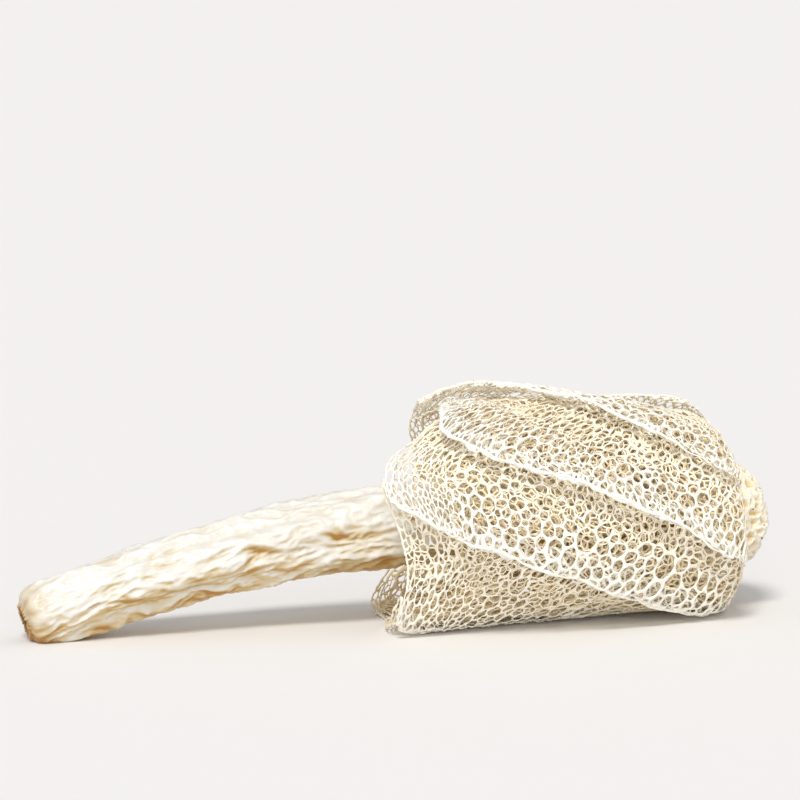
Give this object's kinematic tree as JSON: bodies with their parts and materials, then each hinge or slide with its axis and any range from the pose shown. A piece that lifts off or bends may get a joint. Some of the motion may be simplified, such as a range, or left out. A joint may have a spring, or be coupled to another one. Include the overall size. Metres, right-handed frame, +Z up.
{
  "type": "dried bamboo fungus",
  "caption": "Dried bamboo fungus lying on its side: wrinkled papery stem, wide lacy net skirt folded round its upper half, and a small pitted cap.",
  "frame": {"origin": "centre of the bounding box's bottom, on the surface that the fungus lies on", "axes": "+X along the fungus from the stem's base end to the cap, +Y away from the picture's viewer, +Z up"},
  "size_m": [0.2004, 0.0768, 0.0622],
  "materials": {
    "stem": "dry papery skin with a silky sheen, cream white, warmer amber in the creases",
    "net_skirt": "dry brittle lace, off-white strands",
    "cap": "dry pitted skin, cream ridges and amber pits"
  },
  "bodies": {
    "root": {"stem": "stem", "net_skirt": "net_skirt", "cap": "cap"}
  },
  "joints": []
}
